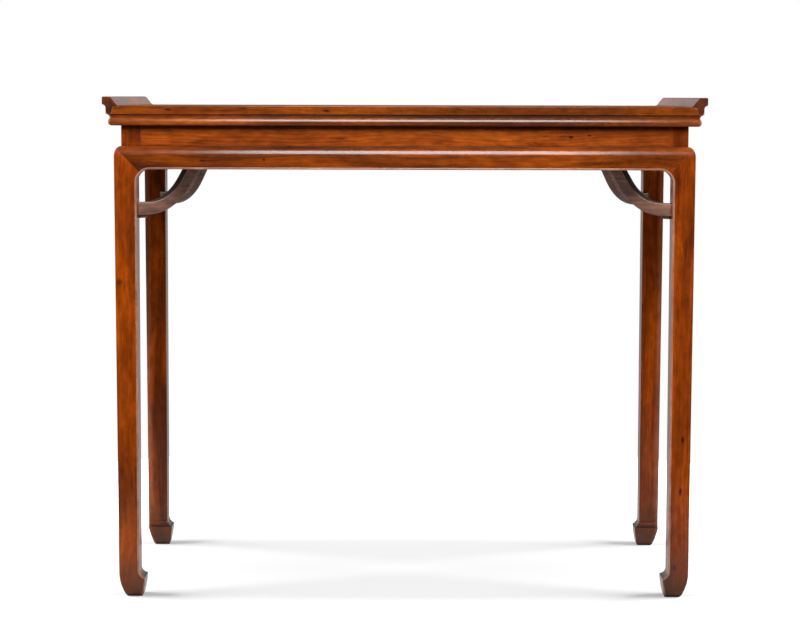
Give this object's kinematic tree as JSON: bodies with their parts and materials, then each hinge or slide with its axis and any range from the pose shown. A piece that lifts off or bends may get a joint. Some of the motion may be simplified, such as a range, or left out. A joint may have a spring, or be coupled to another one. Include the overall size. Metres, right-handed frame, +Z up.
{
  "type": "altar table",
  "caption": "Waisted wooden altar table: moulded top with everted end flanges, recessed waist, rounded aprons, curved corner braces and square legs on hoof feet.",
  "frame": {"origin": "on the floor, under the middle of the table", "axes": "+X along the top's length, +Y from the front to the back, +Z up"},
  "size_m": [1.004, 0.471, 0.85],
  "materials": {
    "frame_wood": "polished",
    "panel_wood": "polished",
    "inner_wood": "unpolished, old",
    "brace_wood": "dull polish",
    "peg_wood": "unpolished",
    "leg_wood": "polished",
    "waist_wood": "polished",
    "apron_wood": "polished"
  },
  "bodies": {
    "root": {"back_apron": "apron_wood", "back_left_brace": "brace_wood", "back_left_leg": "leg_wood", "back_right_brace": "brace_wood", "back_right_leg": "leg_wood", "back_waist_board": "waist_wood", "brace_pins": "peg_wood", "brace_wedges": "peg_wood", "front_apron": "apron_wood", "front_left_brace": "brace_wood", "front_left_leg": "leg_wood", "front_right_brace": "brace_wood", "front_right_leg": "leg_wood", "front_waist_board": "waist_wood", "left_apron": "apron_wood", "left_flange": "frame_wood", "left_waist_board": "waist_wood", "right_apron": "apron_wood", "right_flange": "frame_wood", "right_waist_board": "waist_wood", "top_back_rail": "frame_wood", "top_front_rail": "frame_wood", "top_left_batten": "inner_wood", "top_left_rail": "frame_wood", "top_middle_batten": "inner_wood", "top_panel": "panel_wood", "top_right_batten": "inner_wood", "top_right_rail": "frame_wood"}
  },
  "joints": []
}
